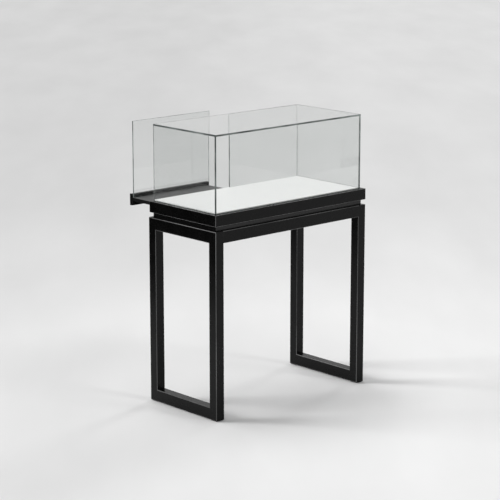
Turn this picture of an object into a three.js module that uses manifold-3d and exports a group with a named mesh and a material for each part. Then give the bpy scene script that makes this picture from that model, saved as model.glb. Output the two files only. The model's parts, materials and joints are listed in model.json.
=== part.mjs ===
// Free-standing display case: an open steel stand, a shadow-gap plinth, a shallow sheet-steel
// casing with a white deck, and a frameless glass box. The left half of its back is a glass
// pane on a tray that pulls straight out on telescopic slides and locks with a cam lock.
//
// Millimetres, +Z up, +X to the right and +Y to the back. Inside the case group X = 0 and Y = 0
// are the middle of the stand; the finished group is moved in Y so that the origin lies on the
// floor, under the middle of the plan with the door drawn out.

import * as THREE from 'three';
import { mergeVertices } from 'three/addons/utils/BufferGeometryUtils.js';
import Module from 'manifold-3d';

const wasm = await Module();
wasm.setup();

// ---- Driving dimensions -------------------------------------------------------------------

// Stand
const WIDTH = 800;                 // over the outer faces of the end frames
const STAND_DEPTH = 392;           // over the outer faces of the legs
const STAND_TOP = 740;             // top of the stand above the floor
const LEG_SIZE = 40;               // legs are square tubes
const RAIL_HEIGHT = 47;            // height of the rails and aprons
const TUBE_WALL = 2;
const TUBE_CORNER = 3;             // outer corner radius of the tubes
const WELD_GAP = 0.3;              // room for the weld between two tubes
const PAD_HEIGHT = 3;
const PAD_LENGTH = 32;
const PAD_INSET = 4;               // from the faces of the rail

// Plinth between the stand and the casing
const PLINTH_HEIGHT = 20;
const PLINTH_INSET = 13;           // from the outer faces of the stand
const PLINTH_BAR = 20;             // width of the bars
const BOLT_INSET = 43;             // of the bolts from the ends of a side bar
const BOLT_RADIUS = 3;
const BOLT_HEAD_RADIUS = 5.5;
const BOLT_HEAD_HEIGHT = 3.5;
const BOLT_END = 8;                // length below the wall that it is threaded into
const BOLT_CLEARANCE = 0.4;        // on the radius of a bolt hole

// Casing under the glass
const CASING_HEIGHT = 44;          // underside to rim
const CASING_SETBACK = 5;          // of its back face from the back of the stand
const SHEET = 2;                   // steel sheet of the casing
const SILL_HEIGHT = 7.5;           // upstand of the back wall under the tray, which the cam hooks
const SILL_INSET = 20;             // the upstand stops this far short of the faces that carry the slides
const SILL_ROOT = 2.5;             // height of the back wall under the slides
const RIB_FLANGE = 15;
const RIB_PLACE_RIGHT = 200;       // right rib, from the middle
const DECK_THICKNESS = 4;
const DECK_GAP = 1;                // between the deck board and the glass

// Glass box
const GLASS = 6;                   // thickness of every pane
const GLASS_HEIGHT = 300;          // rim to top of the top pane
const RIM = 16;                    // rim that shows outside the glass
const GLASS_SETBACK = 7.5;         // of the box from the back of the casing
const SPLIT_GAP = 3;               // of each back pane from the middle of the case

// Door: tray, fascia and pane
const DOOR_DRAWN = 104;            // how far the door stands out
const TRAY_THICKNESS = 14;
const TRAY_DEPTH = 302;
const TRAY_CLEARANCE = 0.5;        // under the deck sheet
const SIDE_CLEARANCE = 1;          // at each side of the tray
const FASCIA_THICKNESS = 15;
const FASCIA_ABOVE = 12;           // above the rim
const FASCIA_BELOW = 34;           // below the rim
const FASCIA_END = 1;              // from the middle of the case
const CLOSED_GAP = 1;              // fascia to casing when shut
const TAPE_THICKNESS = 1;          // bonding tape between the pane and the fascia
const TAPE_BELOW_EDGE = 1.5;       // of the tape below the upper edge of the fascia

// Telescopic slides and runner angles
const SLIDE_LENGTH = 300;
const SLIDE_HEIGHT = 20;
const SLIDE_THICKNESS = 12;
const SLIDE_SHEET = 1.4;
const SLIDE_PLAY = 0.4;            // running clearance between members
const SLIDE_FLOOR = 2;             // above the bottom sheet
const SLIDE_REAR_INSET = 6;        // of the fixed member from the back of the casing
const LEFT_SLIDE_INSET = 80;       // of the face that carries the left-hand slide, from the side
const SLIDE_ANGLE_CLEARANCE = 2.5; // of the angle that carries it, below the tray
const MIDDLE_SHARE = 0.5;          // the middle member moves half as far as the door
const ANGLE_SIZE = 20;
const ANGLE_LENGTH = 280;
const SCREW_RADIUS = 1.8;
const SCREW_HEAD_RADIUS = 4;
const SCREW_HEAD_HEIGHT = 2.4;
const SCREW_GRIP = 9;              // length in the board
const SCREW_CLEARANCE = 0.3;
const ANGLE_SCREW_INSET = 30;      // of the screws from the ends of an angle
const FASCIA_SCREW_SPACING = 280;
const FASCIA_SCREW_LENGTH = 40;
const FASCIA_SCREW_SUNK = 0.2;     // head below the face of the fascia

// Cam lock in the fascia
const LOCK_BELOW_TRAY = 9;         // lock centre under the tray
const LOCK_RADIUS = 6.5;
const LOCK_FLANGE_RADIUS = 8;
const LOCK_FLANGE_HEIGHT = 1.5;
const LOCK_INNER_END = 4;          // housing behind the inner face of the fascia
const LOCK_NUT_HEIGHT = 3;
const LOCK_FIT = 0.3;
const PLUG_RADIUS = 4.6;
const PLUG_PROUD = 0.4;
const PLUG_TAIL = 0.8;             // plug behind the housing
const KEY_SLOT_WIDTH = 1.6;
const KEY_SLOT_HEIGHT = 6;
const KEY_SLOT_DEPTH = 7;
const CAM_THICKNESS = 2;
const CAM_LENGTH = 14;             // axis to tip
const CAM_WIDTH = 10;

const ARC_STEPS = 4;               // segments of a rounded corner
const ROUND_SIDES = 20;            // sides of small round pieces
const CUT_OVER = 1;                // a cutting tool runs this far past the face

// ---- Levels and lines that follow from them -----------------------------------------------

const CASING_BOTTOM = STAND_TOP + PLINTH_HEIGHT;
const RIM_TOP = CASING_BOTTOM + CASING_HEIGHT;
const GLASS_TOP = RIM_TOP + GLASS_HEIGHT;
const SIDE = WIDTH / 2;
const FRONT = -STAND_DEPTH / 2;
const BACK = STAND_DEPTH / 2;
const CASING_BACK = BACK - CASING_SETBACK;
const GLASS_SIDE = SIDE - RIM;
const GLASS_FRONT = FRONT + RIM;
const GLASS_BACK = CASING_BACK - GLASS_SETBACK;
const PANE_TOP = GLASS_TOP - GLASS;
const BOLT_PLACE = BACK - PLINTH_INSET - PLINTH_BAR - BOLT_INSET;

const TRAY_TOP = RIM_TOP - SHEET - TRAY_CLEARANCE;
const TRAY_BOTTOM = TRAY_TOP - TRAY_THICKNESS;
const TRAY_LEFT = -SIDE + SHEET + SIDE_CLEARANCE;
const TRAY_RIGHT = -SHEET - SIDE_CLEARANCE;
const FASCIA_INNER = CASING_BACK + CLOSED_GAP;      // with the door shut
const FASCIA_OUTER = FASCIA_INNER + FASCIA_THICKNESS;
const FASCIA_MIDDLE = -(SIDE + FASCIA_END) / 2;
const SLIDE_MIDDLE = CASING_BOTTOM + SHEET + SLIDE_FLOOR + SLIDE_HEIGHT / 2;
const SLIDE_BACK = CASING_BACK - SLIDE_REAR_INSET;
const LEFT_SLIDE_FACE = LEFT_SLIDE_INSET - SIDE;
const LOCK_LEVEL = TRAY_BOTTOM - LOCK_BELOW_TRAY;

// ---- Materials ----------------------------------------------------------------------------

function material(color, roughness, metalness, opacity = 1) {
  return new THREE.MeshStandardMaterial({
    color, roughness, metalness, opacity, transparent: opacity < 1,
  });
}

const blackCoat = material(0x161616, 0.5, 0.3);
const blackBoard = material(0x141414, 0.35, 0);
const whiteBoard = material(0xf2f2f0, 0.5, 0);
const clearGlass = material(0xdfe8e4, 0.05, 0, 0.3);
const zincSteel = material(0xa9abad, 0.4, 0.9);
const chromeSteel = material(0xc8c8ca, 0.2, 1);
const blackRubber = material(0x0d0d0d, 0.8, 0);

// ---- Helpers ------------------------------------------------------------------------------

const display = new THREE.Group();
const caseGroup = new THREE.Group();
const doorGroup = new THREE.Group();
const middleGroup = new THREE.Group();
display.add(caseGroup);
caseGroup.add(doorGroup, middleGroup);

function add(parent, name, geometry, look) {
  const mesh = new THREE.Mesh(geometry, look);
  mesh.name = name;
  parent.add(mesh);
  return mesh;
}

// A box from its lowest to its highest corner.
function block([x0, x1], [y0, y1], [z0, z1]) {
  const geometry = new THREE.BoxGeometry(x1 - x0, y1 - y0, z1 - z0);
  return geometry.translate((x0 + x1) / 2, (y0 + y1) / 2, (z0 + z1) / 2);
}

function roundedRectangle(path, width, height, radius) {
  const x = width / 2 - radius;
  const y = height / 2 - radius;
  path.absarc(x, y, radius, 0, Math.PI / 2);
  path.absarc(-x, y, radius, Math.PI / 2, Math.PI);
  path.absarc(-x, -y, radius, Math.PI, Math.PI * 1.5);
  path.absarc(x, -y, radius, Math.PI * 1.5, Math.PI * 2);
  path.closePath();
  return path;
}

function polygon(points) {
  return new THREE.Shape(points.map(([x, y]) => new THREE.Vector2(x, y)));
}

// Extrudes a shape drawn in X and Y upwards from z = 0.
function extrude(shape, length, curveSegments = ARC_STEPS) {
  return new THREE.ExtrudeGeometry(shape, { depth: length, bevelEnabled: false, curveSegments });
}

// Extrudes a shape drawn in X and Z along Y, from y0 to y1.
function extrudeAlongY(shape, [y0, y1]) {
  return extrude(shape, y1 - y0).rotateX(Math.PI / 2).translate(0, y1, 0);
}

// A round rod along Z or Y, from its lower to its upper end.
function rod(axis, radius, [x, y], [low, high], sides = ROUND_SIDES) {
  const geometry = new THREE.CylinderGeometry(radius, radius, high - low, sides);
  if (axis === 'z') {
    return geometry.rotateX(Math.PI / 2).translate(x, y, (low + high) / 2);
  }
  return geometry.translate(x, (low + high) / 2, y);
}

function toSolid(geometry) {
  const bare = geometry.clone();
  bare.deleteAttribute('normal');
  bare.deleteAttribute('uv');
  bare.clearGroups();
  const merged = mergeVertices(bare, 1e-4);
  return new wasm.Manifold(new wasm.Mesh({
    numProp: 3,
    vertProperties: new Float32Array(merged.attributes.position.array),
    triVerts: new Uint32Array(merged.index.array),
  }));
}

function toGeometry(solid) {
  const mesh = solid.getMesh();
  const geometry = new THREE.BufferGeometry();
  geometry.setAttribute('position', new THREE.BufferAttribute(mesh.vertProperties, 3));
  geometry.setIndex(new THREE.BufferAttribute(mesh.triVerts, 1));
  return geometry;
}

function cut(geometry, tools) {
  return toGeometry(tools.reduce((solid, tool) => solid.subtract(toSolid(tool)), toSolid(geometry)));
}

// Forms that overlap, such as the head and the shank of a screw, become one body.
function join(geometries) {
  return toGeometry(geometries.map(toSolid).reduce((whole, next) => whole.add(next)));
}

function mirrorPlaces(distance) {
  return [-distance, distance];
}

// ---- Stand --------------------------------------------------------------------------------

// A square tube along Z whose two ends are mitred towards +Y of its own section.
function mitredTube(width, height, length, slope) {
  const shape = roundedRectangle(new THREE.Shape(), width, height, TUBE_CORNER);
  const bore = roundedRectangle(
    new THREE.Path(), width - 2 * TUBE_WALL, height - 2 * TUBE_WALL, TUBE_CORNER - TUBE_WALL);
  shape.holes.push(bore);
  const geometry = extrude(shape, length);
  const place = geometry.attributes.position;
  for (let i = 0; i < place.count; i += 1) {
    const inwards = (place.getY(i) + height / 2) * slope;
    const atEnd = place.getZ(i) > length / 2;
    place.setZ(i, atEnd ? length - inwards : inwards);
  }
  geometry.computeVertexNormals();
  return geometry;
}

function standEnd(side, x) {
  const low = PAD_HEIGHT;
  const legLength = STAND_TOP - low;
  const slope = RAIL_HEIGHT / LEG_SIZE;
  const middleX = x - Math.sign(x) * LEG_SIZE / 2;
  for (const [place, sign] of [['front', -1], ['rear', 1]]) {
    const leg = mitredTube(LEG_SIZE, LEG_SIZE, legLength, slope);
    leg.rotateZ(sign < 0 ? 0 : Math.PI);
    leg.translate(middleX, sign * (BACK - LEG_SIZE / 2), low);
    add(caseGroup, `leg_${place}_${side}`, leg, blackCoat);
  }
  const railLength = STAND_DEPTH - 2 * WELD_GAP;
  const lower = mitredTube(LEG_SIZE, RAIL_HEIGHT, railLength, 1 / slope);
  lower.rotateX(Math.PI / 2);
  lower.translate(middleX, railLength / 2, low + RAIL_HEIGHT / 2);
  add(caseGroup, `bottom_rail_${side}`, lower, blackCoat);
  const upper = mitredTube(LEG_SIZE, RAIL_HEIGHT, railLength, 1 / slope);
  upper.rotateX(-Math.PI / 2);
  upper.translate(middleX, -railLength / 2, STAND_TOP - RAIL_HEIGHT / 2);
  const bolts = mirrorPlaces(BOLT_PLACE).map((y) => rod(
    'z', BOLT_RADIUS + BOLT_CLEARANCE, [plinthX(Math.sign(x)), y],
    [STAND_TOP - TUBE_WALL - CUT_OVER, STAND_TOP + CUT_OVER]));
  add(caseGroup, `top_rail_${side}`, cut(upper, bolts), blackCoat);
}

function apron(name, middleY) {
  const length = WIDTH - 2 * LEG_SIZE - 2 * WELD_GAP;
  const tube = mitredTube(RAIL_HEIGHT, LEG_SIZE, length, 0);
  tube.rotateY(Math.PI / 2);
  tube.translate(-length / 2, middleY, STAND_TOP - RAIL_HEIGHT / 2);
  add(caseGroup, name, tube, blackCoat);
}

function floorPads() {
  for (const [side, signX] of [['left', -1], ['right', 1]]) {
    for (const [place, signY] of [['front', -1], ['rear', 1]]) {
      const x = signX * (SIDE - LEG_SIZE / 2);
      const y = signY * (BACK - PAD_INSET - PAD_LENGTH / 2);
      const halfWidth = LEG_SIZE / 2 - PAD_INSET;
      const pad = block([x - halfWidth, x + halfWidth],
        [y - PAD_LENGTH / 2, y + PAD_LENGTH / 2], [0, PAD_HEIGHT]);
      add(caseGroup, `floor_pad_${place}_${side}`, pad, blackRubber);
    }
  }
}

// ---- Plinth -------------------------------------------------------------------------------

function plinthX(sign) {
  return sign * (SIDE - PLINTH_INSET - PLINTH_BAR / 2);
}

function plinth() {
  const level = [STAND_TOP, CASING_BOTTOM];
  const outerX = SIDE - PLINTH_INSET;
  const outerY = BACK - PLINTH_INSET;
  const innerY = outerY - PLINTH_BAR;
  add(caseGroup, 'plinth_front', block([-outerX, outerX], [-outerY, -innerY], level), blackBoard);
  add(caseGroup, 'plinth_rear', block([-outerX, outerX], [innerY, outerY], level), blackBoard);
  for (const [side, sign] of [['left', -1], ['right', 1]]) {
    const middle = plinthX(sign);
    const bar = block([middle - PLINTH_BAR / 2, middle + PLINTH_BAR / 2], [-innerY, innerY], level);
    const holes = mirrorPlaces(BOLT_PLACE).map((y) => rod(
      'z', BOLT_RADIUS + BOLT_CLEARANCE, [middle, y],
      [STAND_TOP - CUT_OVER, CASING_BOTTOM + CUT_OVER]));
    add(caseGroup, `plinth_${side}`, cut(bar, holes), blackBoard);
  }
}

function boltPlaces() {
  return [-1, 1].flatMap((sign) => mirrorPlaces(BOLT_PLACE).map((y) => [plinthX(sign), y]));
}

// Each bolt goes down through the casing and the plinth into the tapped wall of a top rail.
function caseBolts() {
  const seat = CASING_BOTTOM + SHEET;
  boltPlaces().forEach((at) => {
    const bolt = join([
      rod('z', BOLT_RADIUS, at, [STAND_TOP - TUBE_WALL - BOLT_END, seat + BOLT_HEAD_HEIGHT / 2]),
      rod('z', BOLT_HEAD_RADIUS, at, [seat, seat + BOLT_HEAD_HEIGHT]),
    ]);
    const side = at[0] < 0 ? 'left' : 'right';
    const place = at[1] < 0 ? 'front' : 'rear';
    add(caseGroup, `case_bolt_${place}_${side}`, bolt, zincSteel);
  });
}

// ---- Casing -------------------------------------------------------------------------------

function casing() {
  const low = CASING_BOTTOM + SHEET;
  const high = RIM_TOP - SHEET;
  const walls = [low, high];
  const inner = SIDE - SHEET;
  const innerBack = CASING_BACK - SHEET;
  const bottom = block([-SIDE, SIDE], [FRONT, CASING_BACK], [CASING_BOTTOM, low]);
  const holes = boltPlaces().map((at) => rod(
    'z', BOLT_RADIUS + BOLT_CLEARANCE, at, [CASING_BOTTOM - CUT_OVER, low + CUT_OVER]));
  add(caseGroup, 'casing_bottom', cut(bottom, holes), blackCoat);
  add(caseGroup, 'casing_front', block([-SIDE, SIDE], [FRONT, FRONT + SHEET], walls), blackCoat);
  const sideY = [FRONT + SHEET, CASING_BACK];
  add(caseGroup, 'casing_left', block([-SIDE, -inner], sideY, walls), blackCoat);
  add(caseGroup, 'casing_right', block([inner, SIDE], sideY, walls), blackCoat);
  const sillLeft = LEFT_SLIDE_FACE + SILL_INSET;
  const rear = polygon([
    [-inner, low], [inner, low], [inner, high], [0, high], [0, low + SILL_ROOT],
    [-SILL_INSET, low + SILL_ROOT], [-SILL_INSET, low + SILL_HEIGHT],
    [sillLeft, low + SILL_HEIGHT], [sillLeft, low + SILL_ROOT], [-inner, low + SILL_ROOT],
  ]);
  add(caseGroup, 'casing_rear', extrudeAlongY(rear, [innerBack, CASING_BACK]), blackCoat);
}

// The rim and the sheet under the deck, stepped in at the back where the door pane comes in.
function deckSheet() {
  const outline = polygon([
    [-SIDE, FRONT], [SIDE, FRONT], [SIDE, CASING_BACK], [0, CASING_BACK], [0, GLASS_BACK],
    [-SIDE, GLASS_BACK],
  ]);
  const sheet = extrude(outline, SHEET).translate(0, 0, RIM_TOP - SHEET);
  add(caseGroup, 'deck_sheet', sheet, blackCoat);
}

// Folded ribs carry the deck sheet; the middle one also carries the right-hand slide.
function ribs() {
  const low = CASING_BOTTOM + SHEET;
  const high = RIM_TOP - SHEET;
  const channel = (x) => polygon([
    [x - SHEET, low], [x + RIB_FLANGE, low], [x + RIB_FLANGE, low + SHEET], [x, low + SHEET],
    [x, high - SHEET], [x + RIB_FLANGE, high - SHEET], [x + RIB_FLANGE, high], [x - SHEET, high],
  ]);
  const reach = [FRONT + SHEET, CASING_BACK - SHEET - SHEET];
  add(caseGroup, 'rib_middle', extrudeAlongY(channel(0), reach), blackCoat);
  add(caseGroup, 'rib_right', extrudeAlongY(channel(RIB_PLACE_RIGHT), reach), blackCoat);
}

// The white deck lies inside the glass and reaches to the back edge of the door opening.
function deckBoard() {
  const left = -GLASS_SIDE + GLASS + DECK_GAP;
  const right = -left;
  const front = GLASS_FRONT + GLASS + DECK_GAP;
  const fixedBack = GLASS_BACK - GLASS - DECK_GAP;
  const doorBack = GLASS_BACK - DECK_GAP / 2;
  const step = SPLIT_GAP - DECK_GAP;
  const outline = polygon([
    [left, front], [right, front], [right, fixedBack], [step, fixedBack], [step, doorBack],
    [left, doorBack],
  ]);
  const board = extrude(outline, DECK_THICKNESS).translate(0, 0, RIM_TOP);
  add(caseGroup, 'deck_board', board, whiteBoard);
}

// ---- Glass box ----------------------------------------------------------------------------

function glassBox() {
  const level = [RIM_TOP, PANE_TOP];
  const inner = GLASS_SIDE - GLASS;
  const behindFront = [GLASS_FRONT + GLASS, GLASS_BACK];
  const pane = (name, x, y, z) => add(caseGroup, name, block(x, y, z), clearGlass);
  pane('glass_front', [-GLASS_SIDE, GLASS_SIDE], [GLASS_FRONT, GLASS_FRONT + GLASS], level);
  pane('glass_left', [-GLASS_SIDE, -inner], behindFront, level);
  pane('glass_right', [inner, GLASS_SIDE], behindFront, level);
  pane('glass_rear', [SPLIT_GAP, inner], [GLASS_BACK - GLASS, GLASS_BACK], level);
  pane('glass_top', [-GLASS_SIDE, GLASS_SIDE], [GLASS_FRONT, GLASS_BACK], [PANE_TOP, GLASS_TOP]);
}

// ---- Telescopic slides --------------------------------------------------------------------

const slideReach = [SLIDE_BACK - SLIDE_LENGTH, SLIDE_BACK];

// Each slide with the way from the face that carries it towards the tray's middle.
const slideSides = [
  ['left', 1, LEFT_SLIDE_FACE],
  ['right', -1, -SHEET],
];

// A channel section: its back lies between u0 and u1 and its lips reach to tip. u runs from
// the wall that the slide is fixed to, towards the tray; v is up from the slide's middle.
function channelSection(direction, origin, halfHeight, u0, u1, tip) {
  const web = tip > u0 ? u1 : u0;
  const spine = tip > u0 ? u0 : u1;
  const lip = halfHeight - SLIDE_SHEET;
  const points = [
    [spine, -halfHeight], [tip, -halfHeight], [tip, -lip], [web, -lip],
    [web, lip], [tip, lip], [tip, halfHeight], [spine, halfHeight],
  ];
  return polygon(points.map(([u, v]) => [origin + direction * u, SLIDE_MIDDLE + v]));
}

// A low angle on the bottom sheet carries the left-hand slide, because the tray runs over it.
function slideAngle() {
  const low = CASING_BOTTOM + SHEET;
  const high = TRAY_BOTTOM - SLIDE_ANGLE_CLEARANCE;
  const outline = polygon([
    [LEFT_SLIDE_FACE - RIB_FLANGE, low], [LEFT_SLIDE_FACE, low], [LEFT_SLIDE_FACE, high],
    [LEFT_SLIDE_FACE - SHEET, high], [LEFT_SLIDE_FACE - SHEET, low + SHEET],
    [LEFT_SLIDE_FACE - RIB_FLANGE, low + SHEET],
  ]);
  add(caseGroup, 'slide_angle_left', extrudeAlongY(outline, slideReach), zincSteel);
}

function slide(side, direction, origin) {
  const outerHalf = SLIDE_HEIGHT / 2;
  const middleHalf = outerHalf - SLIDE_SHEET - SLIDE_PLAY;
  const innerHalf = middleHalf - SLIDE_SHEET - SLIDE_PLAY;
  const middleBack = SLIDE_SHEET + SLIDE_PLAY;
  const innerBack = SLIDE_THICKNESS - SLIDE_SHEET;
  const outerTip = innerBack - SLIDE_PLAY;
  const innerTip = middleBack + SLIDE_SHEET + SLIDE_PLAY;
  const member = (half, u0, u1, tip) => extrudeAlongY(
    channelSection(direction, origin, half, u0, u1, tip), slideReach);
  const fixed = member(outerHalf, 0, SLIDE_SHEET, outerTip);
  add(caseGroup, `slide_outer_${side}`, fixed, zincSteel);
  const middle = member(middleHalf, middleBack, middleBack + SLIDE_SHEET, outerTip);
  add(middleGroup, `slide_middle_${side}`, middle, zincSteel);
  const moving = member(innerHalf, innerBack, SLIDE_THICKNESS, innerTip);
  add(doorGroup, `slide_inner_${side}`, moving, zincSteel);
}

// An angle under the tray that the moving member of a slide is fixed to.
function runnerAngle(side, direction, origin) {
  const near = origin + direction * SLIDE_THICKNESS;
  const web = near + direction * SHEET;
  const tip = near + direction * ANGLE_SIZE;
  const foot = SLIDE_MIDDLE - SLIDE_HEIGHT / 2 + SLIDE_SHEET;
  const outline = polygon([
    [near, foot], [web, foot], [web, TRAY_BOTTOM - SHEET], [tip, TRAY_BOTTOM - SHEET],
    [tip, TRAY_BOTTOM], [near, TRAY_BOTTOM],
  ]);
  const back = SLIDE_BACK - (SLIDE_LENGTH - ANGLE_LENGTH) / 2;
  const angle = extrudeAlongY(outline, [back - ANGLE_LENGTH, back]);
  const places = angleScrewPlaces(direction, origin);
  const holes = places.map((at) => rod('z', SCREW_RADIUS + SCREW_CLEARANCE, at,
    [TRAY_BOTTOM - SHEET - CUT_OVER, TRAY_BOTTOM + CUT_OVER]));
  add(doorGroup, `runner_angle_${side}`, cut(angle, holes), zincSteel);
  places.forEach((at, index) => {
    const place = index === 0 ? 'front' : 'rear';
    add(doorGroup, `runner_screw_${place}_${side}`, runnerScrew(at), zincSteel);
  });
}

// A pan-head screw up through the angle into the underside of the tray.
function runnerScrew(at) {
  const seat = TRAY_BOTTOM - SHEET;
  return join([
    rod('z', SCREW_HEAD_RADIUS, at, [seat - SCREW_HEAD_HEIGHT, seat]),
    rod('z', SCREW_RADIUS, at, [seat - SCREW_HEAD_HEIGHT / 2, TRAY_BOTTOM + SCREW_GRIP]),
  ]);
}

function angleScrewPlaces(direction, origin) {
  const x = origin + direction * (SLIDE_THICKNESS + (ANGLE_SIZE + SHEET) / 2);
  const middle = SLIDE_BACK - SLIDE_LENGTH / 2;
  return mirrorPlaces(ANGLE_LENGTH / 2 - ANGLE_SCREW_INSET).map((offset) => [x, middle + offset]);
}

// ---- Door ---------------------------------------------------------------------------------

function fasciaScrewPlaces() {
  const level = (TRAY_BOTTOM + TRAY_TOP) / 2;
  return mirrorPlaces(FASCIA_SCREW_SPACING / 2).map((offset) => [FASCIA_MIDDLE + offset, level]);
}

// A countersunk screw from the outer face of the fascia into the edge of the tray, or with
// some clearance all round the hole that it goes in.
function fasciaScrew([x, z], clearance = 0) {
  const face = FASCIA_OUTER - FASCIA_SCREW_SUNK;
  const headRadius = SCREW_HEAD_RADIUS + clearance;
  const shankRadius = SCREW_RADIUS + clearance;
  const cone = new THREE.CylinderGeometry(headRadius, shankRadius, SCREW_HEAD_HEIGHT, ROUND_SIDES);
  const parts = [
    cone.translate(x, face - SCREW_HEAD_HEIGHT / 2, z),
    rod('y', shankRadius, [x, z], [face - FASCIA_SCREW_LENGTH - clearance, face - SCREW_RADIUS]),
  ];
  if (clearance > 0) {
    parts.push(rod('y', headRadius, [x, z], [face, FASCIA_OUTER + CUT_OVER]));
  }
  return join(parts);
}

function tray() {
  const board = block(
    [TRAY_LEFT, TRAY_RIGHT], [FASCIA_INNER - TRAY_DEPTH, FASCIA_INNER], [TRAY_BOTTOM, TRAY_TOP]);
  const below = slideSides.flatMap(([, direction, origin]) => angleScrewPlaces(direction, origin));
  const pilots = below.map((at) => rod('z', SCREW_RADIUS + SCREW_CLEARANCE, at,
    [TRAY_BOTTOM - CUT_OVER, TRAY_BOTTOM + SCREW_GRIP + SCREW_CLEARANCE]));
  const behind = fasciaScrewPlaces().map((at) => fasciaScrew(at, SCREW_CLEARANCE));
  add(doorGroup, 'tray', cut(board, [...pilots, ...behind]), blackBoard);
}

function fascia() {
  const bar = block(
    [-SIDE, -FASCIA_END], [FASCIA_INNER, FASCIA_OUTER],
    [RIM_TOP - FASCIA_BELOW, RIM_TOP + FASCIA_ABOVE]);
  const lockHole = rod('y', LOCK_RADIUS + LOCK_FIT, [FASCIA_MIDDLE, LOCK_LEVEL],
    [FASCIA_INNER - CUT_OVER, FASCIA_OUTER + CUT_OVER]);
  const holes = fasciaScrewPlaces().map((at) => fasciaScrew(at, SCREW_CLEARANCE));
  add(doorGroup, 'fascia', cut(bar, [lockHole, ...holes]), blackBoard);
  fasciaScrewPlaces().forEach((at, index) => {
    const side = index === 0 ? 'left' : 'right';
    add(doorGroup, `fascia_screw_${side}`, fasciaScrew(at), zincSteel);
  });
}

// The door pane stands on the tray and is bonded to the upstand of the fascia.
function doorPane() {
  const outer = FASCIA_INNER - TAPE_THICKNESS;
  const width = [TRAY_LEFT, -SPLIT_GAP];
  const pane = block(width, [outer - GLASS, outer], [TRAY_TOP, GLASS_TOP]);
  add(doorGroup, 'door_glass', pane, clearGlass);
  const tapeTop = RIM_TOP + FASCIA_ABOVE - TAPE_BELOW_EDGE;
  const tape = block(width, [outer, FASCIA_INNER], [TRAY_TOP, tapeTop]);
  add(doorGroup, 'glass_tape', tape, blackRubber);
}

// ---- Cam lock -----------------------------------------------------------------------------

function camLock() {
  const at = [FASCIA_MIDDLE, LOCK_LEVEL];
  const flangeEnd = FASCIA_OUTER + LOCK_FLANGE_HEIGHT;
  const innerEnd = FASCIA_INNER - LOCK_INNER_END;
  const bore = rod('y', PLUG_RADIUS + LOCK_FIT, at, [innerEnd - CUT_OVER, flangeEnd + CUT_OVER]);
  const shell = join([
    rod('y', LOCK_RADIUS, at, [innerEnd, flangeEnd]),
    rod('y', LOCK_FLANGE_RADIUS, at, [FASCIA_OUTER, flangeEnd]),
  ]);
  add(doorGroup, 'lock_housing', cut(shell, [bore]), chromeSteel);

  const nutBore = rod('y', LOCK_RADIUS + LOCK_FIT, at,
    [FASCIA_INNER - LOCK_NUT_HEIGHT - CUT_OVER, FASCIA_INNER + CUT_OVER]);
  const nut = rod('y', LOCK_FLANGE_RADIUS, at, [FASCIA_INNER - LOCK_NUT_HEIGHT, FASCIA_INNER], 6);
  add(doorGroup, 'lock_nut', cut(nut, [nutBore]), chromeSteel);

  const plugEnd = flangeEnd + PLUG_PROUD;
  const tail = innerEnd - PLUG_TAIL;
  const screwBore = rod('y', SCREW_RADIUS + SCREW_CLEARANCE, at,
    [tail - CUT_OVER, tail + SCREW_GRIP / 2 + CUT_OVER]);
  const slot = block(
    [at[0] - KEY_SLOT_WIDTH / 2, at[0] + KEY_SLOT_WIDTH / 2],
    [plugEnd - KEY_SLOT_DEPTH, plugEnd + CUT_OVER],
    [at[1] - KEY_SLOT_HEIGHT / 2, at[1] + KEY_SLOT_HEIGHT / 2]);
  const plug = cut(rod('y', PLUG_RADIUS, at, [tail, plugEnd]), [screwBore, slot]);
  add(doorGroup, 'lock_plug', plug, chromeSteel);

  const camY = [tail - CAM_THICKNESS, tail];
  const outline = new THREE.Shape();
  const half = CAM_WIDTH / 2;
  outline.absarc(0, 0, half, Math.PI / 2, Math.PI * 1.5);
  outline.lineTo(CAM_LENGTH, -half);
  outline.lineTo(CAM_LENGTH, half);
  outline.closePath();
  const blade = extrudeAlongY(outline, camY).translate(at[0], 0, at[1]);
  const camBore = rod('y', SCREW_RADIUS + SCREW_CLEARANCE, at,
    [camY[0] - CUT_OVER, camY[1] + CUT_OVER]);
  add(doorGroup, 'lock_cam', cut(blade, [camBore]), zincSteel);
  const camScrew = join([
    rod('y', SCREW_HEAD_RADIUS, at, [camY[0] - SCREW_HEAD_HEIGHT, camY[0]]),
    rod('y', SCREW_RADIUS, at, [camY[0] - SCREW_HEAD_HEIGHT / 2, tail + SCREW_GRIP / 2]),
  ]);
  add(doorGroup, 'cam_screw', camScrew, zincSteel);
}

// ---- Assembly -----------------------------------------------------------------------------

standEnd('left', -SIDE);
standEnd('right', SIDE);
apron('apron_front', FRONT + LEG_SIZE / 2);
apron('apron_rear', BACK - LEG_SIZE / 2);
floorPads();
plinth();
caseBolts();
casing();
deckSheet();
ribs();
deckBoard();
glassBox();
slideAngle();
for (const [side, direction, origin] of slideSides) {
  slide(side, direction, origin);
  runnerAngle(side, direction, origin);
}
tray();
fascia();
doorPane();
camLock();

// The door stands out by DOOR_DRAWN and carries the middle members of its slides with it.
doorGroup.position.y = DOOR_DRAWN;
middleGroup.position.y = DOOR_DRAWN * MIDDLE_SHARE;

// The plan runs from the front of the stand to the face of the lock.
const PLAN_BACK = FASCIA_OUTER + LOCK_FLANGE_HEIGHT + PLUG_PROUD + DOOR_DRAWN;
caseGroup.position.y = -(FRONT + PLAN_BACK) / 2;

export default display;
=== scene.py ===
# Looks of a free-standing display case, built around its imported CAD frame.
#
# Metres, +Z up, -Y to the front. Every solid of the frame gets a piece of its own with rounded
# edges and a procedural finish. Each piece rides on the CAD body of its solid, so the poses move
# the door, the lock and the slides.

import json
import math

import bmesh
import bpy
from mathutils import Matrix, Vector


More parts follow.
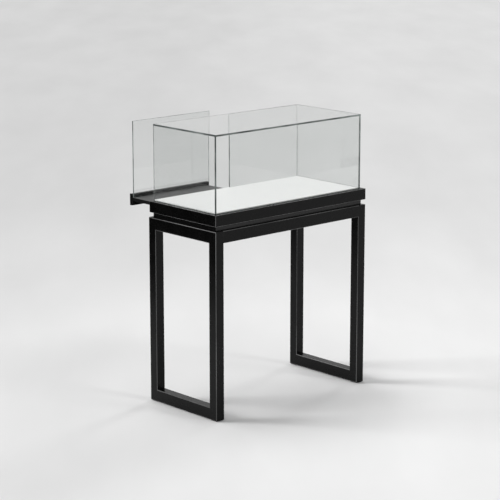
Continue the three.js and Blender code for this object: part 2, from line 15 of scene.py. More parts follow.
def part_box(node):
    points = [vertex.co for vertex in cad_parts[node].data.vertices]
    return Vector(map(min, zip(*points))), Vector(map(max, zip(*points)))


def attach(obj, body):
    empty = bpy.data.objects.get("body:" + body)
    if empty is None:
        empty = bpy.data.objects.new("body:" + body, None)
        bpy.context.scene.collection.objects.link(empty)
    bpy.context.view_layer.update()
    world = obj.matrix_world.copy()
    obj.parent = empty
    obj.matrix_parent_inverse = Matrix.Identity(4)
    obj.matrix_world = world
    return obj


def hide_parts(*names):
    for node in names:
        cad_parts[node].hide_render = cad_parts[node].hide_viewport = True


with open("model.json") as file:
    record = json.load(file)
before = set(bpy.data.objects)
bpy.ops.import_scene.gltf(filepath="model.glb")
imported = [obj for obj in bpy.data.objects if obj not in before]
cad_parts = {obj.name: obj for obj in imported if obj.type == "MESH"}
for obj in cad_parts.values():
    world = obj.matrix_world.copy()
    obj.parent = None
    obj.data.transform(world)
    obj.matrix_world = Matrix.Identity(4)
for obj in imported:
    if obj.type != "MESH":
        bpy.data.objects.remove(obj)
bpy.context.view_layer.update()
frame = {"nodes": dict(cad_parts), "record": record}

MM = 0.001
BODIES = frame["record"]["behaviour"]["bodies"]
BODY_OF = {node: body for body, nodes in BODIES.items() for node in nodes}

# ---- Sizes ----------------------------------------------------------------------------------

TUBE_CORNER = 2.4 * MM
TUBE_ARC = 6                 # faces across a rounded corner of a tube
CASING_EDGE = 1.2 * MM       # folded and ground edges of the casing
FOLD_EDGE = 0.8 * MM
BOARD_EDGE = 1.0 * MM
DECK_EDGE = 0.5 * MM
RUBBER_EDGE = 0.8 * MM
SLIDE_EDGE = 0.4 * MM
SMALL_EDGE = 0.25 * MM
GLASS_ARRIS = 0.7 * MM       # ground off every edge of a pane
BOND_GAP = 0.1 * MM          # left between a pane and what it is bonded to

ROUND_SIDES = 48
SOFT_ANGLE = math.radians(35)    # edges with a smaller angle are shaded smooth
FLAT_ANGLE = math.radians(0.5)   # faces within this angle count as one
WELD_DISTANCE = 1e-6
OUTLINE_TOLERANCE = WELD_DISTANCE * 50    # how far from an outline box an edge still lies on it

# Camera, from the fit to the photograph: its turn about Z, its height above the horizon, the
# point it looks at and its distance from there.
FRAME_PIXELS = 500
CAMERA_AZIMUTH = math.radians(-42.488)
CAMERA_ELEVATION = math.radians(12.739)
CAMERA_TARGET = Vector((-0.26408, -0.29509, 0.66))
CAMERA_DISTANCE = 7.1695
FOCAL_PIXELS = 1902.57
SENSOR_MM = 36
CAMERA_REACH = 200
LIGHT_BOUNCES = 16


# ---- Node trees -----------------------------------------------------------------------------

class Tree:
    """A node tree that is written in short lines."""

    def __init__(self, owner):
        owner.use_nodes = True
        self.tree = owner.node_tree
        self.tree.nodes.clear()

    def add(self, kind, inputs=None, **settings):
        node = self.tree.nodes.new(kind)
        for name, value in settings.items():
            setattr(node, name, value)
        for name, value in (inputs or {}).items():
            self.feed(node.inputs[name], value)
        return node

    def feed(self, socket, value):
        if isinstance(value, bpy.types.NodeSocket):
            self.tree.links.new(value, socket)
        else:
            socket.default_value = value

    def mix(self, factor, first, second):
        """The colour between two others."""
        node = self.add("ShaderNodeMix", data_type="RGBA")
        colours = [s for s in node.inputs if s.type == "RGBA"]
        self.feed(node.inputs[0], factor)
        self.feed(colours[0], first)
        self.feed(colours[1], second)
        return next(s for s in node.outputs if s.type == "RGBA")

    def remap(self, value, low, high, start=0.0, end=1.0):
        """The value, with start to end stretched to low to high and held within them."""
        node = self.add("ShaderNodeMapRange", {
            "Value": value, "From Min": start, "From Max": end, "To Min": low, "To Max": high})
        return node.outputs["Result"]

    def maths(self, operation, first, second):
        node = self.add("ShaderNodeMath", operation=operation)
        self.feed(node.inputs[0], first)
        self.feed(node.inputs[1], second)
        return node.outputs[0]

    def noise(self, place, scale, detail, roughness=0.5):
        node = self.add("ShaderNodeTexNoise", {
            "Vector": place, "Scale": scale, "Detail": detail, "Roughness": roughness})
        return node.outputs["Fac"]

    def place(self, stretch=(1, 1, 1)):
        """A point's place on the object, in metres, stretched along the axes."""
        point = self.add("ShaderNodeTexCoord").outputs["Object"]
        if stretch == (1, 1, 1):
            return point
        return self.add("ShaderNodeMapping", {"Vector": point, "Scale": stretch}).outputs[0]

    def edge(self):
        """1 on the faces of rounded edges and 0 elsewhere."""
        return self.add("ShaderNodeAttribute", attribute_name="edge").outputs["Fac"]

    def bump(self, height, depth, strength):
        node = self.add("ShaderNodeBump", {"Height": height, "Distance": depth, "Strength": strength})
        return node.outputs[0]

    def principled(self, colour, rough, normal, more=None):
        """A principled shader. More of its inputs are given by name."""
        inputs = {"Base Color": colour, "Roughness": rough, "Normal": normal, **(more or {})}
        return self.add("ShaderNodeBsdfPrincipled", inputs).outputs[0]

    def surface(self, shader):
        self.add("ShaderNodeOutputMaterial", {"Surface": shader})


def grey(level, warmth=0.0):
    return (level * (1 + warmth), level, level * (1 - warmth), 1)


# ---- Finishes -------------------------------------------------------------------------------

def powder_coat(name):
    """Satin black powder coat with a fine orange peel. Its rounded edges are painted light grey: a
    little wear, and mostly a painted highlight for the glint on them.
    """
    look = bpy.data.materials.new(name)
    tree = Tree(look)
    place = tree.place()
    cloud = tree.noise(place, 7, 3)
    # Painted highlight: the rounded edges are painted light grey, fading in and out along their
    # length like a glint. Only a little of it is wear.
    wear_and_sheen_mask = tree.remap(tree.noise(place, 4, 3), 0.45, 1, 0.35, 0.6)
    edge_wear_and_highlight = tree.maths("MULTIPLY", tree.edge(), wear_and_sheen_mask)
    base = tree.mix(cloud, grey(0.0015), grey(0.003))
    colour = tree.mix(edge_wear_and_highlight, base, grey(0.2))
    rough = tree.remap(tree.noise(place, 22, 4), 0.22, 0.3, 0.3, 0.7)
    peel = tree.bump(tree.noise(place, 900, 2), 0.006 * MM, 0.5)
    tree.surface(tree.principled(
        colour, rough, peel, {"IOR": 1.45, "Specular IOR Level": 0.18}))
    return look


def lacquered_board(name):
    """Black lacquer on board: smooth, with faint waves from the brush."""
    look = bpy.data.materials.new(name)
    tree = Tree(look)
    place = tree.place()
    waves = tree.noise(tree.place((6, 90, 90)), 2.5, 3)
    # On the lacquer the edges are painted a little lighter.
    wear_and_sheen_mask = tree.remap(tree.noise(place, 50, 4), 0.1, 0.9, 0.4, 0.6)
    edge_wear_and_highlight = tree.maths("MULTIPLY", tree.edge(), wear_and_sheen_mask)
    base = tree.mix(tree.noise(place, 9, 3), grey(0.003), grey(0.0055))
    colour = tree.mix(edge_wear_and_highlight, base, grey(0.018))
    rough = tree.remap(waves, 0.2, 0.28, 0.3, 0.7)
    relief = tree.bump(waves, 0.01 * MM, 0.3)
    tree.surface(tree.principled(
        colour, rough, relief, {"IOR": 1.5, "Specular IOR Level": 0.35}))
    return look


def tray_board(name):
    """The tray: the same black board, matt, with a fine grain on top. Its upward faces are painted
    charcoal grey, a painted sheen in place of the backdrop's reflection on the top.
    """
    look = bpy.data.materials.new(name)
    tree = Tree(look)
    place = tree.place()
    grain = tree.noise(place, 700, 3)
    cloud = tree.noise(place, 14, 4)
    # Painted sheen: faces that point up are painted charcoal grey and the others near black, standing
    # in for the reflection on the top.
    normal = tree.add("ShaderNodeNewGeometry").outputs["Normal"]
    rise = tree.add("ShaderNodeSeparateXYZ", {0: normal}).outputs["Z"]
    wear_and_sheen_mask = tree.remap(rise, 0.0, 1.0, 0.6, 0.9)
    matt = tree.mix(cloud, grey(0.1), grey(0.125))
    colour = tree.mix(wear_and_sheen_mask, grey(0.004), matt)
    rough = tree.remap(tree.noise(place, 40, 3), 0.6, 0.7, 0.3, 0.7)
    relief = tree.bump(grain, 0.02 * MM, 0.5)
    tree.surface(tree.principled(
        colour, rough, relief, {"IOR": 1.45, "Specular IOR Level": 0.2}))
    return look


def white_laminate(name):
    """The matt white deck: a fine pebble grain and faint clouds."""
    look = bpy.data.materials.new(name)
    tree = Tree(look)
    place = tree.place()
    cloud = tree.noise(place, 5, 4)
    speck = tree.noise(place, 260, 3)
    base = tree.mix(cloud, grey(0.91, 0.006), grey(0.93, 0.004))
    colour = tree.mix(tree.remap(speck, 0, 0.35, 0.6, 0.8), base, grey(0.86, 0.01))
    rough = tree.remap(tree.noise(place, 30, 3), 0.42, 0.58, 0.3, 0.7)
    grain = tree.bump(tree.noise(place, 1400, 2), 0.03 * MM, 0.5)
    tree.surface(tree.principled(
        colour, rough, grain, {"IOR": 1.46, "Specular IOR Level": 0.2}))
    return look


def clear_glass(name):
    """Float glass: a light grey-green through its faces, frosted where its edges are ground.

    Light that only passes through to fall on something is let through with a faint tint."""
    look = bpy.data.materials.new(name)
    tree = Tree(look)
    place = tree.place()
    edge = tree.edge()
    smear = tree.remap(tree.noise(place, 14, 5, 0.6), 0.0, 0.012, 0.55, 0.8)
    rough = tree.maths("MAXIMUM", smear, tree.maths("MULTIPLY", edge, 0.25))
    ripple = tree.bump(tree.noise(place, 9, 1), 0.02 * MM, 0.25)
    ground = tree.remap(tree.noise(place, 11, 3), 0, 1, 0.38, 0.62)
    frost = tree.mix(ground, (0.1, 0.115, 0.11, 1), (0.34, 0.38, 0.365, 1))
    tint = tree.mix(edge, (0.893, 0.904, 0.899, 1), frost)
    clearness = tree.remap(edge, 1.0, 0.35)
    glass = tree.principled(tint, rough, ripple, {"IOR": 1.5, "Transmission Weight": clearness})
    passing = tree.add("ShaderNodeBsdfTransparent", {"Color": (0.98, 0.986, 0.983, 1)}).outputs[0]
    ray = tree.add("ShaderNodeLightPath").outputs
    lets_through = tree.maths("MAXIMUM", ray["Is Shadow Ray"], ray["Is Diffuse Ray"])
    mixed = tree.add("ShaderNodeMixShader", {"Fac": lets_through})
    tree.feed(mixed.inputs[1], glass)
    tree.feed(mixed.inputs[2], passing)
    tree.surface(mixed.outputs[0])
    return look


def zinc_plate(name):
    """Zinc-plated steel: cloudy grey metal with fine lines along its length."""
    look = bpy.data.materials.new(name)
    tree = Tree(look)
    place = tree.place()
    lines = tree.noise(tree.place((900, 18, 900)), 1, 3)
    cloud = tree.noise(place, 60, 4)
    base = tree.mix(cloud, (0.5, 0.51, 0.53, 1), (0.66, 0.67, 0.68, 1))
    colour = tree.mix(tree.maths("MULTIPLY", tree.edge(), 0.5), base, (0.8, 0.8, 0.8, 1))
    rough = tree.remap(lines, 0.26, 0.46, 0.3, 0.7)
    relief = tree.bump(lines, 0.01 * MM, 0.4)
    tree.surface(tree.principled(colour, rough, relief, {"Metallic": 1.0}))
    return look


def chrome_plate(name):
    """Chrome on the lock: bright, with a few soft handling marks."""
    look = bpy.data.materials.new(name)
    tree = Tree(look)
    place = tree.place()
    marks = tree.noise(place, 420, 5, 0.65)
    colour = tree.mix(marks, (0.66, 0.665, 0.68, 1), (0.78, 0.785, 0.79, 1))
    rough = tree.remap(marks, 0.06, 0.2, 0.35, 0.7)
    relief = tree.bump(tree.noise(place, 1800, 2), 0.004 * MM, 0.4)
    tree.surface(tree.principled(colour, rough, relief, {"Metallic": 1.0}))
    return look


def black_rubber(name):
    """Matt rubber of the floor pads, dusty on its raised grain."""
    look = bpy.data.materials.new(name)
    tree = Tree(look)
    place = tree.place()
    grain = tree.noise(place, 1600, 3)
    dust = tree.maths("MULTIPLY", tree.remap(tree.noise(place, 120, 4), 0, 1, 0.45, 0.7), 0.6)
    colour = tree.mix(dust, grey(0.012), grey(0.035, 0.03))
    rough = tree.remap(grain, 0.65, 0.9, 0.3, 0.7)
    tree.surface(tree.principled(colour, rough, tree.bump(grain, 0.08 * MM, 0.6)))
    return look


def bonding_tape(name):
    """Black foam tape: matt, with fine closed pores."""
    look = bpy.data.materials.new(name)
    tree = Tree(look)
    place = tree.place()
    pores = tree.add("ShaderNodeTexVoronoi", {"Vector": place, "Scale": 2200}).outputs["Distance"]
    colour = tree.mix(tree.noise(place, 80, 3), grey(0.01), grey(0.02))
    rough = tree.remap(pores, 0.85, 0.6)
    tree.surface(tree.principled(colour, rough, tree.bump(pores, 0.05 * MM, 0.5)))
    return look


# A look for each material slot of the record.
LOOKS = {
    "black_coat": powder_coat("Black powder coat"),
    "black_board": lacquered_board("Black lacquered board"),
    "white_board": white_laminate("White deck board"),
    "glass": clear_glass("Clear glass"),
    "zinc": zinc_plate("Zinc plate"),
    "chrome": chrome_plate("Chrome plate"),
    "rubber": black_rubber("Black rubber"),
    "tape": bonding_tape("Bonding tape"),
}
TRAY_LOOK = tray_board("Tray with painted top sheen")


# ---- Meshes ---------------------------------------------------------------------------------

def start_mesh():
    """An empty mesh with the mark that the finishes read on rounded edges."""
    shape = bmesh.new()
    shape.faces.layers.float.new("edge")
    return shape


def solid_of(node):
    """The node's solid, with each flat face in one piece."""
    shape = bmesh.new()
    shape.from_mesh(frame["nodes"][node].data)
    for layer in list(shape.loops.layers.uv):
        shape.loops.layers.uv.remove(layer)
    shape.faces.layers.float.new("edge")
    bmesh.ops.remove_doubles(shape, verts=shape.verts, dist=WELD_DISTANCE)
    bmesh.ops.dissolve_limit(shape, angle_limit=FLAT_ANGLE, verts=shape.verts, edges=shape.edges)
    return shape


def round_over(shape, edges, radius, arc):
    """Rounds edges with an arc of that many faces, and marks those faces."""
    made = bmesh.ops.bevel(
        shape, geom=edges, offset=radius, offset_type="OFFSET", segments=arc, profile=0.5,
        affect="EDGES", clamp_overlap=True)
    mark = shape.faces.layers.float["edge"]
    for face in made["faces"]:
        face[mark] = 1.0


def sharp_edges(shape):
    """Convex edges whose faces meet at more than the soft angle."""
    return [edge for edge in shape.edges
            if len(edge.link_faces) == 2 and edge.calc_face_angle_signed() > SOFT_ANGLE]


def on_outline(edge, low, high):
    """True for an edge that lies along an edge of the box from low to high."""
    planes = 0
    for axis in range(3):
        for level in (low[axis], high[axis]):
            planes += all(abs(v.co[axis] - level) < OUTLINE_TOLERANCE for v in edge.verts)
    return planes >= 2


def place_piece(shape, node, slot, flat=False):
    """Makes the shape the piece that stands for a CAD node, on that node's body."""
    if not flat:
        for edge in shape.edges:
            edge.smooth = len(edge.link_faces) == 2 and edge.calc_face_angle(0) < SOFT_ANGLE
    for face in shape.faces:
        face.smooth = not flat
    mesh = bpy.data.meshes.new(node + "_look")
    shape.to_mesh(mesh)
    shape.free()
    mesh.materials.append(LOOKS[slot])
    piece = bpy.data.objects.new(node + "_look", mesh)
    bpy.context.scene.collection.objects.link(piece)
    if not flat:
        evened = piece.modifiers.new("even_normals", "WEIGHTED_NORMAL")
        evened.keep_sharp = True
    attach(piece, BODY_OF[node])
    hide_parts(node)
    return piece


def dress(node, slot, radius, arc=3, outline=None):
    """The node's own solid with its edges rounded, or only those along an outline box."""
    shape = solid_of(node)
    edges = sharp_edges(shape)
    if outline is not None:
        edges = [e for e in edges if on_outline(e, *outline)]
    round_over(shape, edges, radius, arc)
    return place_piece(shape, node, slot)


def box_of(nodes):
    """The box round several nodes."""
    boxes = [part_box(n) for n in nodes]
    low = Vector([min(b[0][i] for b in boxes) for i in range(3)])
    high = Vector([max(b[1][i] for b in boxes) for i in range(3)])
    return low, high


# ---- Stand ----------------------------------------------------------------------------------

def rounded_square(half_u, radius_u, radius_v):
    """A closed outline with u from -half_u to half_u and v from 0 to 1."""
    points = []
    for corner in range(4):
        sign_u = 1 if corner in (0, 3) else -1
        centre_v = 1 - radius_v if corner in (0, 1) else radius_v
        for step in range(TUBE_ARC + 1):
            angle = (corner + step / TUBE_ARC) * math.pi / 2
            u = sign_u * (half_u - radius_u) + radius_u * math.cos(angle)
            points.append((u, centre_v + radius_v * math.sin(angle)))
    return points


def skin_bar(near_end, far_end):
    """A closed bar between two outlines with the same number of points. Its corners are marked as
    edges, most of all along their middle, where the powder coat's painted highlight is brightest."""
    shape = start_mesh()
    mark = shape.faces.layers.float["edge"]
    near = [shape.verts.new(p) for p in near_end]
    far = [shape.verts.new(p) for p in far_end]
    count = len(near)
    for i in range(count):
        face = shape.faces.new((near[i], near[(i + 1) % count], far[(i + 1) % count], far[i]))
        step = i % (TUBE_ARC + 1)
        face[mark] = 0.0 if step == TUBE_ARC else math.sin((step + 0.5) / TUBE_ARC * math.pi)
    shape.faces.new(list(reversed(near)))
    shape.faces.new(far)
    bmesh.ops.recalc_face_normals(shape, faces=shape.faces)
    return shape


def end_frame(side):
    """Two legs and two rails that meet in mitres, ground flush."""
    legs = [f"leg_front_{side}", f"leg_rear_{side}"]
    rails = [f"bottom_rail_{side}", f"top_rail_{side}"]
    low, high = box_of(legs)
    leg_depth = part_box(legs[0])[1].y - low.y
    rail_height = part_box(rails[0])[1].z - low.z
    middle_x, half = (low.x + high.x) / 2, (high.x - low.x) / 2
    outer = [(low.y, low.z), (high.y, low.z), (high.y, high.z), (low.y, high.z)]
    inner = [
        (low.y + leg_depth, low.z + rail_height), (high.y - leg_depth, low.z + rail_height),
        (high.y - leg_depth, high.z - rail_height), (low.y + leg_depth, high.z - rail_height)]
    radius_v = TUBE_CORNER / ((leg_depth + rail_height) / 2)
    outline = rounded_square(half, TUBE_CORNER, radius_v)

    def mitre(corner):
        (y0, z0), (y1, z1) = outer[corner], inner[corner]
        return [(middle_x + u, y0 + v * (y1 - y0), z0 + v * (z1 - z0)) for u, v in outline]

    for corner, node in enumerate([rails[0], legs[1], rails[1], legs[0]]):
        place_piece(skin_bar(mitre(corner), mitre((corner + 1) % 4)), node, "black_coat")


def apron(node):
    """A cross tube whose ends run into the rounded corners of the legs, as the weld does."""
    low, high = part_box(node)
    reach = high.x + TUBE_CORNER
    height = high.z - low.z
    outline = rounded_square((high.y - low.y) / 2, TUBE_CORNER, TUBE_CORNER / height)
    middle_y = (low.y + high.y) / 2
    ends = [[(x, middle_y + u, low.z + v * height) for u, v in outline] for x in (-reach, reach)]
    place_piece(skin_bar(*ends), node, "black_coat")


def stand():
    for side in ("left", "right"):
        end_frame(side)
        for place in ("front", "rear"):
            dress(f"floor_pad_{place}_{side}", "rubber", RUBBER_EDGE)
    apron("apron_front")
    apron("apron_rear")


# ---- Plinth, casing and deck ----------------------------------------------------------------

def plinth():
    bars = [f"plinth_{place}" for place in ("front", "rear", "left", "right")]
    outline = box_of(bars)
    for node in bars:
        dress(node, "black_board", BOARD_EDGE, outline=outline)


def casing():
    """Folded sheet, welded and ground: rounded only where the whole casing has an edge."""
    sheets = [f"casing_{place}" for place in ("bottom", "front", "left", "right", "rear")]
    sheets.append("deck_sheet")
    outline = box_of(sheets)
    for node in sheets:
        dress(node, "black_coat", CASING_EDGE, 4, outline)
    for node in ("rib_middle", "rib_right"):
        dress(node, "black_coat", FOLD_EDGE, 2)
    dress("deck_board", "white_board", DECK_EDGE)


# ---- Glass ----------------------------------------------------------------------------------

def pane(node, short_of=()):
    """A pane with ground edges. It stops short of its CAD box by the bond at the named sides,
    such as "-y" for its front."""
    low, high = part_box(node)
    for side in short_of:
        axis = "xyz".index(side[1])
        if side[0] == "-":
            low[axis] += BOND_GAP
        else:
            high[axis] -= BOND_GAP
    shape = start_mesh()
    placed = Matrix.Translation((low + high) / 2) @ Matrix.Diagonal((*(high - low), 1))
    bmesh.ops.create_cube(shape, size=1, matrix=placed)
    thin = min(range(3), key=lambda axis: high[axis] - low[axis])
    mark = shape.faces.layers.float["edge"]
    for face in shape.faces:
        face[mark] = 0.0 if abs(face.normal[thin]) > 0.5 else 1.0
    round_over(shape, list(shape.edges), GLASS_ARRIS, 1)
    place_piece(shape, node, "glass", flat=True)


def glass():
    pane("glass_front", ("-z", "+z"))
    pane("glass_left", ("-y", "-z", "+z"))
    pane("glass_right", ("-y", "-z", "+z"))
    pane("glass_rear", ("+x", "-z", "+z"))
    pane("glass_top")
    pane("door_glass", ("+y", "-z"))


# ---- Fasteners ------------------------------------------------------------------------------

BOLT = (3 * MM, 3.5 * MM)         # radius of the shank and height of the head
SMALL_SCREW = (1.8 * MM, 2.4 * MM)
TIP_RADIUS = 0.45                 # of a screw's tip, in radii of its shank
TIP_LENGTH = 0.9                  # in radii of its shank
DRIVE_RADIUS = 0.46               # of a star drive, in radii of the head
DRIVE_DEPTH = 0.6                 # in heights of the head
STAR_POINTS = 6
STAR_WAIST = 0.7                  # radius between two points of a star, in radii of a point
CROWN_HEIGHT = 0.35               # of a raised head's rounded top, in heights of the head
# The rounded top from its rim inwards: radii of the head, and crown heights below the top.
CROWN = ((1, 1), (0.94, 0.45), (0.8, 0.1), (0.66, 0))


def ring(shape, frame_axes, radius, level):
    """A circle of corners round the last of the axes."""
    centre, across, upwards, along = frame_axes
    verts = []
    for i in range(ROUND_SIDES):
        a = 2 * math.pi * i / ROUND_SIDES
        verts.append(shape.verts.new(
            centre + radius * (math.cos(a) * across + math.sin(a) * upwards) + level * along))
    return verts


def star(shape, frame_axes, radius, level):
    """The outline of a star-shaped drive."""
    centre, across, upwards, along = frame_axes
    verts = []
    for i in range(STAR_POINTS * 2):
        reach = radius if i % 2 == 0 else radius * STAR_WAIST
        a = math.pi * i / STAR_POINTS
        verts.append(shape.verts.new(
            centre + reach * (math.cos(a) * across + math.sin(a) * upwards) + level * along))
    return verts


def key_slot(shape, frame_axes, width, height, level):
    """The outline of a slot for a flat key."""
    centre, across, upwards, along = frame_axes
    verts = []
    for u, v in ((1, -1), (1, 1), (-1, 1), (-1, -1)):
        verts.append(shape.verts.new(
            centre + u * width / 2 * across + v * height / 2 * upwards + level * along))
    return verts


def bridge(shape, first, second):
    """A band of faces between two loops with the same number of corners."""
    count = len(first)
    return [shape.faces.new((first[i], first[(i + 1) % count], second[(i + 1) % count], second[i]))
            for i in range(count)]


def fill_between(shape, outer, inner):
    """A flat face between an outer and an inner loop."""
    edges = []
    for loop in (outer, inner):
        for i, vert in enumerate(loop):
            pair = (vert, loop[(i + 1) % len(loop)])
            edges.append(shape.edges.get(pair) or shape.edges.new(pair))
    bmesh.ops.triangle_fill(shape, use_beauty=True, edges=edges)


def axes_of(node, along):
    """The middle of a round node and three directions, the last one along it."""
    low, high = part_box(node)
    across = Vector((1, 0, 0))
    return (low + high) / 2, across, Vector(along).cross(across), Vector(along)


def turned(node, slot, along, profile, recess):
    """A turned piece. The profile holds (radius, level) pairs from its tip to the rim of its
    face, with levels measured from its middle. The recess in that face is a pair: a function of
    the shape, the axes and a level that draws its outline, and its depth."""
    shape = start_mesh()
    axes = axes_of(node, along)
    loops = [ring(shape, axes, radius, level) for radius, level in profile]
    for first, second in zip(loops, loops[1:]):
        bridge(shape, first, second)
    shape.faces.new(list(reversed(loops[0])))
    face_level = profile[-1][1]
    outline, depth = recess
    top = outline(shape, axes, face_level)
    bottom = outline(shape, axes, face_level - depth)
    fill_between(shape, loops[-1], top)
    bridge(shape, top, bottom)
    shape.faces.new(bottom)
    bmesh.ops.recalc_face_normals(shape, faces=shape.faces)
    place_piece(shape, node, slot)


def screw(node, along, size, countersunk=False):
    """A screw with a star drive, from the box of its node. Its size is the radius of its shank
    and the height of its head."""
    shank, head_height = size
    low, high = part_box(node)
    axis = max(range(3), key=lambda i: abs(along[i]))
    half = (high[axis] - low[axis]) / 2
    head = (high.x - low.x) / 2
    rim = head - SMALL_EDGE
    seat = half - head_height
    profile = [(shank * TIP_RADIUS, -half), (shank, -half + shank * TIP_LENGTH), (shank, seat)]
    if countersunk:
        profile += [(rim, half - SMALL_EDGE), (rim, half)]
    else:
        crown = head_height * CROWN_HEIGHT
        profile += [(rim, seat), (head, seat + SMALL_EDGE)]
        profile += [(head * radius, half - crown * depth) for radius, depth in CROWN]

    def drive(shape, axes, level):
        return star(shape, axes, head * DRIVE_RADIUS, level)

    turned(node, "zinc", along, profile, (drive, head_height * DRIVE_DEPTH))


def fasteners():
    for side in ("left", "right"):
        for place in ("front", "rear"):
            screw(f"case_bolt_{place}_{side}", (0, 0, 1), BOLT)
            screw(f"runner_screw_{place}_{side}", (0, 0, -1), SMALL_SCREW)
        screw(f"fascia_screw_{side}", (0, 1, 0), SMALL_SCREW, countersunk=True)
    screw("cam_screw", (0, -1, 0), SMALL_SCREW)


# ---- Slides, tray and fascia ----------------------------------------------------------------

def slides():
    dress("slide_angle_left", "zinc", FOLD_EDGE, 2)
    for side in ("left", "right"):
        for member in ("outer", "middle", "inner"):
            dress(f"slide_{member}_{side}", "zinc", SLIDE_EDGE, 2)
        dress(f"runner_angle_{side}", "zinc", SLIDE_EDGE, 2)


def door():
    tray = dress("tray", "black_board", BOARD_EDGE, outline=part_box("tray"))
    tray.data.materials[0] = TRAY_LOOK
    dress("fascia", "black_board", BOARD_EDGE, outline=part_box("fascia"))
    dress("glass_tape", "tape", SMALL_EDGE, 2)


# ---- Cam lock -------------------------------------------------------------------------------

BARREL_RADIUS = 6.5 * MM
PLUG_BORE = 4.9 * MM              # radius of the hole for the plug
FLANGE_HEIGHT = 1.5 * MM
FLANGE_EDGE = 0.4 * MM
NUT_EDGE = 0.4 * MM
PLUG_EDGE = 0.35 * MM
KEY_SLOT_WIDTH = 1.6 * MM
KEY_SLOT_HEIGHT = 6 * MM
KEY_SLOT_DEPTH = 7 * MM


def lock_housing():
    """The barrel with its flange, bored for the plug."""
    node = "lock_housing"
    low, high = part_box(node)
    half = (high.y - low.y) / 2
    flange = (high.x - low.x) / 2
    edge = FLANGE_EDGE
    under = half - FLANGE_HEIGHT
    profile = [
        (PLUG_BORE, -half), (BARREL_RADIUS - SMALL_EDGE, -half),
        (BARREL_RADIUS, -half + SMALL_EDGE), (BARREL_RADIUS, under),
        (flange - SMALL_EDGE, under), (flange, under + SMALL_EDGE), (flange, half - 2 * edge),
        (flange - 0.3 * edge, half - edge), (flange - 1.2 * edge, half - 0.2 * edge),
        (flange - 2.4 * edge, half), (PLUG_BORE + edge, half), (PLUG_BORE, half - edge)]
    shape = start_mesh()
    axes = axes_of(node, (0, 1, 0))
    loops = [ring(shape, axes, radius, level) for radius, level in profile]
    for first, second in zip(loops, loops[1:] + loops[:1]):
        bridge(shape, first, second)
    bmesh.ops.recalc_face_normals(shape, faces=shape.faces)
    place_piece(shape, node, "chrome")


def lock():
    lock_housing()
    dress("lock_nut", "chrome", NUT_EDGE, 2)
    low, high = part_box("lock_plug")
    half = (high.y - low.y) / 2
    plug = (high.x - low.x) / 2
    edge = PLUG_EDGE
    profile = [(plug - edge, -half), (plug, -half + edge), (plug, half - edge), (plug - edge, half)]

    def slot(shape, axes, level):
        return key_slot(shape, axes, KEY_SLOT_WIDTH, KEY_SLOT_HEIGHT, level)

    turned("lock_plug", "chrome", (0, 1, 0), profile, (slot, KEY_SLOT_DEPTH))
    dress("lock_cam", "zinc", SMALL_EDGE, 2)


# ---- Stage ----------------------------------------------------------------------------------

FLOOR_REACH = 40
FLOOR_LEVEL = -0.2 * MM
KEY_BEARING = Vector((-0.05, 1, 0))         # the shadows fall the other way
SIDE_BEARING = Vector((-0.7, 0.71, 0))
FILL_BEARING = Vector((0.95, 0.25, 0))
FRONT_BEARING = Vector((0.35, -0.94, 0))
FLAG_BEARING = Vector((-0.66, 0.75, 0))
STRIP_BEARING = Vector((-0.676, -0.737, 0))
RIGHT_STRIP_BEARING = Vector((1, -0.03, 0))
BRIGHTER_SIDE = (0.74, -0.68, 0)            # the floor is a little paler that way
CLOUD_TURN = math.radians(-42)              # the floor's clouds are drawn out one way
CLOUD_STRETCH = (1, 3.5, 1)
SKY_LIGHT = 0.37                            # strength of the sky as a light
SKY_SEEN = 0.72                             # and as seen directly, in mirrors and through glass


def stage_plane(name, size_x, size_y, look):
    """A flat piece of the studio, level and centred until it is moved."""
    shape = bmesh.new()
    bmesh.ops.create_grid(shape, x_segments=2, y_segments=2, size=0.5)
    bmesh.ops.scale(shape, vec=(size_x, size_y, 1), verts=shape.verts)
    mesh = bpy.data.meshes.new(name)
    shape.to_mesh(mesh)
    shape.free()
    mesh.materials.append(look)
    plane = bpy.data.objects.new(name, mesh)
    bpy.context.scene.collection.objects.link(plane)
    return plane


def floor():
    """A pale seamless floor with faint clouds and a painted pool of light: its colour is brightest
    round the object.
    """
    look = bpy.data.materials.new("Floor")
    tree = Tree(look)
    place = tree.place()
    away = tree.add("ShaderNodeVectorMath", {0: place}, operation="LENGTH").outputs["Value"]
    # Painted pool of light: the colour is palest up to about a metre from the object and darkens
    # outwards to six metres.
    ramp = tree.add("ShaderNodeValToRGB", {"Fac": tree.remap(away, 0, 1, 0, 6)})
    stops = ramp.color_ramp.elements
    stops[0].position, stops[0].color = 0.0, grey(0.77)
    stops[1].position, stops[1].color = 1.0, grey(0.643)
    for position, level in ((0.2, 0.79), (0.38, 0.715), (0.66, 0.653)):
        stops.new(position).color = grey(level)
    aside = tree.add("ShaderNodeVectorMath", {0: place, 1: BRIGHTER_SIDE}, operation="DOT_PRODUCT")
    slope = tree.remap(aside.outputs["Value"], 0.955, 1.045, -0.8, 0.8)
    turn = (0, 0, CLOUD_TURN)
    drawn_out = tree.add("ShaderNodeMapping", {
        "Vector": place, "Rotation": turn, "Scale": CLOUD_STRETCH}, vector_type="TEXTURE").outputs[0]
    cloud = tree.remap(tree.noise(drawn_out, 2.2, 4), 0.965, 1.03, 0.3, 0.7)
    level = tree.maths("MULTIPLY", ramp.outputs["Color"], tree.maths("MULTIPLY", slope, cloud))
    tree.surface(tree.add("ShaderNodeBsdfDiffuse", {"Color": level}).outputs[0])
    stage_plane("floor", 2 * FLOOR_REACH, 2 * FLOOR_REACH, look).location.z = FLOOR_LEVEL


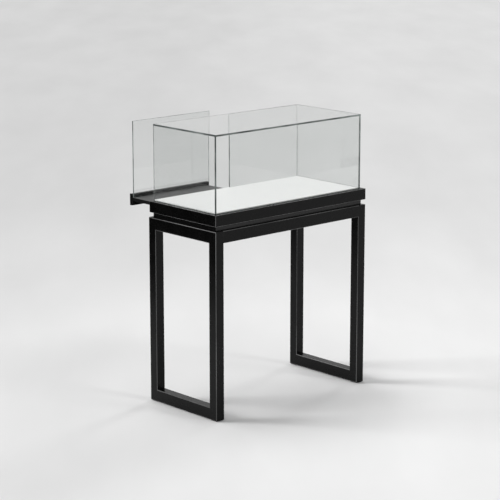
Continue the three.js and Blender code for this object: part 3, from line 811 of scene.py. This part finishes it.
def sun(name, bearing, elevation, spread, strength):
    """A soft light far away, which no glossy surface mirrors and no glass shows. Its spread is
    its width in degrees, seen from the object."""
    light = bpy.data.lights.new(name, "SUN")
    light.angle = math.radians(spread)
    light.energy = strength
    lamp = bpy.data.objects.new(name, light)
    lamp.visible_glossy = False
    lamp.visible_transmission = False
    bpy.context.scene.collection.objects.link(lamp)
    rise = math.radians(elevation)
    towards = bearing.normalized() * math.cos(rise) + Vector((0, 0, math.sin(rise)))
    lamp.rotation_euler = (-towards).to_track_quat("-Z", "Y").to_euler()


def studio_card(name, bearing, distance, width, height, strength):
    """An upright card on the floor that only shows in glossy surfaces: black, or lit."""
    look = bpy.data.materials.new(name)
    tree = Tree(look)
    tree.surface(tree.add("ShaderNodeEmission", {"Color": grey(1), "Strength": strength}).outputs[0])
    card = stage_plane(name, width, height, look)
    towards = bearing.normalized()
    card.location = towards * distance + Vector((0, 0, height / 2))
    card.rotation_euler = (-towards).to_track_quat("Z", "Y").to_euler()
    card.visible_camera = False
    card.visible_diffuse = False
    card.visible_transmission = False
    card.visible_shadow = False


def lights():
    sun("key", KEY_BEARING, elevation=68, spread=36, strength=1.0)
    sun("side", SIDE_BEARING, elevation=22, spread=22, strength=2.42)
    sun("fill", FILL_BEARING, elevation=34, spread=12, strength=0.42)
    sun("front", FRONT_BEARING, elevation=38, spread=12, strength=0.34)
    studio_card("flag", FLAG_BEARING, distance=2.0, width=3.2, height=1.5, strength=0.0)
    studio_card("near_strip", STRIP_BEARING, distance=1.9, width=2.4, height=0.4, strength=1.6)
    studio_card("right_strip", RIGHT_STRIP_BEARING, distance=1.9, width=1.6, height=0.4, strength=2.2)
    world = bpy.data.worlds.new("Studio")
    bpy.context.scene.world = world
    tree = Tree(world)
    ray = tree.add("ShaderNodeLightPath").outputs
    seen = tree.maths("MAXIMUM", ray["Is Camera Ray"],
                      tree.maths("MAXIMUM", ray["Is Glossy Ray"], ray["Is Transmission Ray"]))
    strength = tree.remap(seen, SKY_LIGHT, SKY_SEEN)
    sky = tree.add("ShaderNodeBackground", {"Color": grey(1), "Strength": strength})
    tree.add("ShaderNodeOutputWorld", {"Surface": sky.outputs[0]})


def camera():
    lens = bpy.data.cameras.new("camera")
    lens.sensor_width = SENSOR_MM
    lens.lens = FOCAL_PIXELS * SENSOR_MM / FRAME_PIXELS
    lens.clip_end = CAMERA_REACH
    viewer = bpy.data.objects.new("camera", lens)
    bpy.context.scene.collection.objects.link(viewer)
    level = math.cos(CAMERA_ELEVATION)
    back = Vector((
        math.sin(CAMERA_AZIMUTH) * level, -math.cos(CAMERA_AZIMUTH) * level,
        math.sin(CAMERA_ELEVATION)))
    viewer.location = CAMERA_TARGET + back * CAMERA_DISTANCE
    viewer.rotation_euler = (-back).to_track_quat("-Z", "Y").to_euler()
    bpy.context.scene.camera = viewer


# ---- Assembly -------------------------------------------------------------------------------

stand()
plinth()
casing()
glass()
slides()
fasteners()
door()
lock()
floor()
lights()
camera()

scene = bpy.context.scene
scene.view_settings.view_transform = "Standard"
scene.cycles.max_bounces = LIGHT_BOUNCES
scene.cycles.transmission_bounces = LIGHT_BOUNCES
scene.cycles.transparent_max_bounces = LIGHT_BOUNCES
scene.cycles.caustics_reflective = False
scene.cycles.caustics_refractive = False
